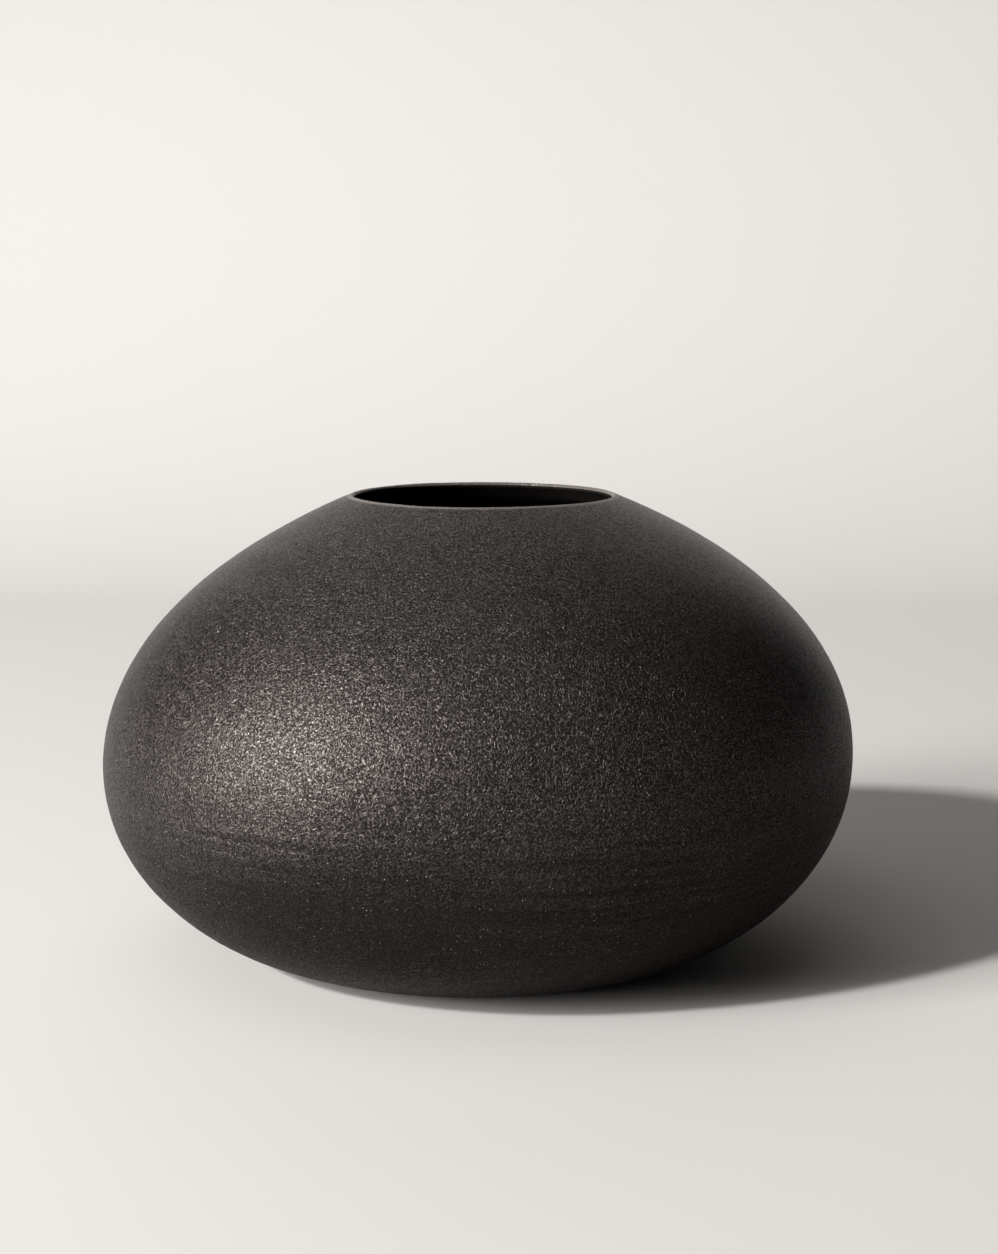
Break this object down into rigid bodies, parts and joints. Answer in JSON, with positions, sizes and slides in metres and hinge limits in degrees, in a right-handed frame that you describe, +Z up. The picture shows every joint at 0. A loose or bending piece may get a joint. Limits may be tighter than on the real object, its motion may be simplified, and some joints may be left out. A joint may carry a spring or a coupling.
{
  "type": "clay pot",
  "caption": "Squat round-bellied vessel in matt black fired clay with a flat base, a low sloping shoulder and a wide open mouth with a thin rounded lip.",
  "frame": {"origin": "centre of the flat base, on the surface the pot stands on", "axes": "+Z up along the pot's axis of turning; the pot is round about +Z, and -Y is the side seen from the front"},
  "size_m": [0.3, 0.3, 0.18],
  "materials": {
    "base_clay": "matt, scuffed from standing",
    "wall_clay": "matt with a low sheen, sandy grain",
    "rim_clay": "matt, lip rubbed a little smoother"
  },
  "bodies": {
    "root": {"base_slab": "base_clay", "wall_coil_01": "wall_clay", "wall_coil_02": "wall_clay", "wall_coil_03": "wall_clay", "wall_coil_04": "wall_clay", "wall_coil_05": "wall_clay", "wall_coil_06": "wall_clay", "wall_coil_07": "wall_clay", "wall_coil_08": "wall_clay", "wall_coil_09": "wall_clay", "wall_coil_10": "wall_clay", "wall_coil_11": "wall_clay", "wall_coil_12": "wall_clay", "rim_coil": "rim_clay"}
  },
  "joints": []
}
